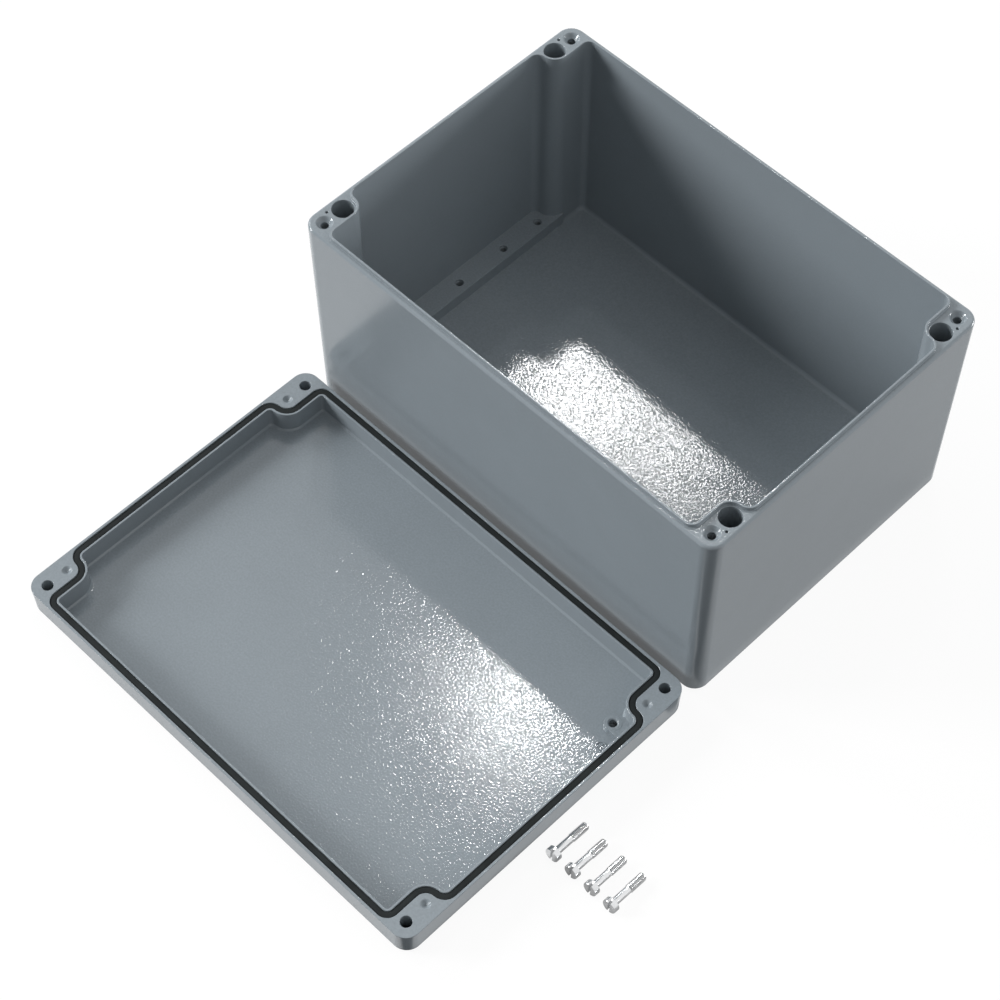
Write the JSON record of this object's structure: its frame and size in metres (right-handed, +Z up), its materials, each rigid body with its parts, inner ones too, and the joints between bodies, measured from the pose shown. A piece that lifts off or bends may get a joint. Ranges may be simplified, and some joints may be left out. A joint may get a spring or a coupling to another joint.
{
  "type": "die cast box",
  "caption": "Rectangular die cast aluminium box with corner pillars, a tongued rim and inner mounting rails; its lid with groove and gasket and its screws lie apart.",
  "frame": {"origin": "centre of the base's underside", "axes": "+Z up out of the open base; X along the box's long side; Y along its short side, with the lid laid upside down at -Y"},
  "size_m": [0.3934, 0.4653, 0.1626],
  "materials": {
    "painted_casting": "satin grey powder coat with a fine hammered texture on the inner floors",
    "gasket_rubber": "matt black",
    "screw_metal": "bright stainless steel"
  },
  "bodies": {
    "root": {"base_box": "painted_casting", "lid": "painted_casting", "lid_gasket": "gasket_rubber", "lid_screw_1": "screw_metal", "lid_screw_2": "screw_metal", "lid_screw_3": "screw_metal", "lid_screw_4": "screw_metal"}
  },
  "joints": []
}
